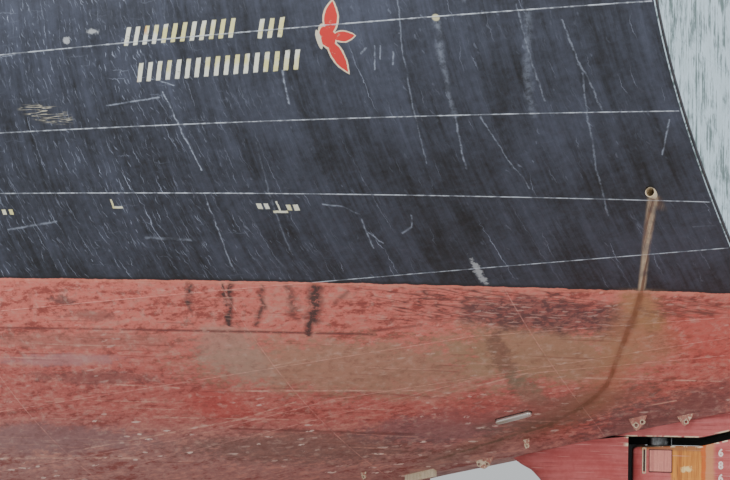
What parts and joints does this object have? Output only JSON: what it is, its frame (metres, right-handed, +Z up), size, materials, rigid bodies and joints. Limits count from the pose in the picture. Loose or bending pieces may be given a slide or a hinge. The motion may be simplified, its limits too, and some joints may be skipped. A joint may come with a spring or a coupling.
{
  "type": "ship stern section with propeller and rudder",
  "caption": "Stern section of a cargo ship: plated hull with raked counter and flat transom, skeg with a shaft boss, turning screw propeller and semi-spade rudder on a horn.",
  "frame": {"origin": "on the forward face of the closing bulkhead, on the ship's centreline, at the height of the paint line between topsides and underbody", "axes": "+X aft along the ship, +Y starboard, +Z up"},
  "size_m": [14.6106, 18.494, 14.6],
  "materials": {
    "topside_paint": "weathered semi-matt black topside paint with pale scratches and run-off streaks",
    "antifouling_paint": "worn matt red antifouling paint with brown rubbed patches",
    "transom_paint": "weathered pale blue-grey paint with dark run-off streaks",
    "deck_paint": "matt green non-slip deck paint",
    "bulkhead_primer": "matt grey-brown primer",
    "bronze": "cast bronze, ground and dulled by sea water",
    "bare_steel": "machined steel",
    "zinc": "dull cast zinc"
  },
  "bodies": {
    "hull": {"forward_bulkhead": "bulkhead_primer", "main_deck": "deck_paint", "bulwark_port": "topside_paint", "bulwark_starboard": "topside_paint", "bulwark_aft": "transom_paint", "mooring_bitts_port": "topside_paint", "mooring_bitts_starboard": "topside_paint", "sheer_strake_port": "topside_paint", "sheer_strake_starboard": "topside_paint", "upper_strake_port": "topside_paint", "upper_strake_starboard": "topside_paint", "middle_strake_port": "topside_paint", "middle_strake_starboard": "topside_paint", "lower_strake_port": "topside_paint", "lower_strake_starboard": "topside_paint", "waterline_strake_port": "antifouling_paint", "waterline_strake_starboard": "antifouling_paint", "bilge_strake_port": "antifouling_paint", "bilge_strake_starboard": "antifouling_paint", "counter_strake_port": "antifouling_paint", "counter_strake_starboard": "antifouling_paint", "centre_bottom_strake": "antifouling_paint", "transom_upper_plate": "transom_paint", "transom_middle_plate": "transom_paint", "transom_lower_plate": "transom_paint", "transom_edge_bar_port": "topside_paint", "transom_edge_bar_starboard": "topside_paint", "skeg_side_port": "antifouling_paint", "skeg_side_starboard": "antifouling_paint", "skeg_keel_plate": "antifouling_paint", "stern_frame": "antifouling_paint", "rope_guard": "antifouling_paint", "rudder_horn": "antifouling_paint", "rudder_headbox": "antifouling_paint", "scupper_pipe_port": "topside_paint", "scupper_pipe_starboard": "topside_paint", "hull_anode_port": "zinc", "hull_anode_starboard": "zinc", "lug_double_eye_port": "antifouling_paint", "lug_double_eye_starboard": "antifouling_paint", "lug_headbox_port": "antifouling_paint", "lug_headbox_starboard": "antifouling_paint", "lug_horn_port": "antifouling_paint", "lug_aperture_port": "antifouling_paint", "lug_counter_port": "antifouling_paint", "aperture_ledge": "antifouling_paint"},
    "rudder": {"rudder_blade": "antifouling_paint", "rudder_access_cover": "antifouling_paint", "rudder_stock": "bare_steel", "rudder_pintle": "bare_steel"},
    "propeller": {"propeller_casting": "bronze", "propeller_cap": "bronze", "propeller_shaft": "bare_steel"}
  },
  "joints": [
    {"name": "rudder_turn", "type": "hinge", "parent": "hull", "child": "rudder", "pos_m": [12.2, 0, -2.15], "axis": [0, 0, 1], "range_deg": [-35, 35]},
    {"name": "propeller_spin", "type": "hinge", "parent": "hull", "child": "propeller", "pos_m": [8.14, 0, -5.6], "axis": [1, 0, 0], "continuous": true}
  ]
}
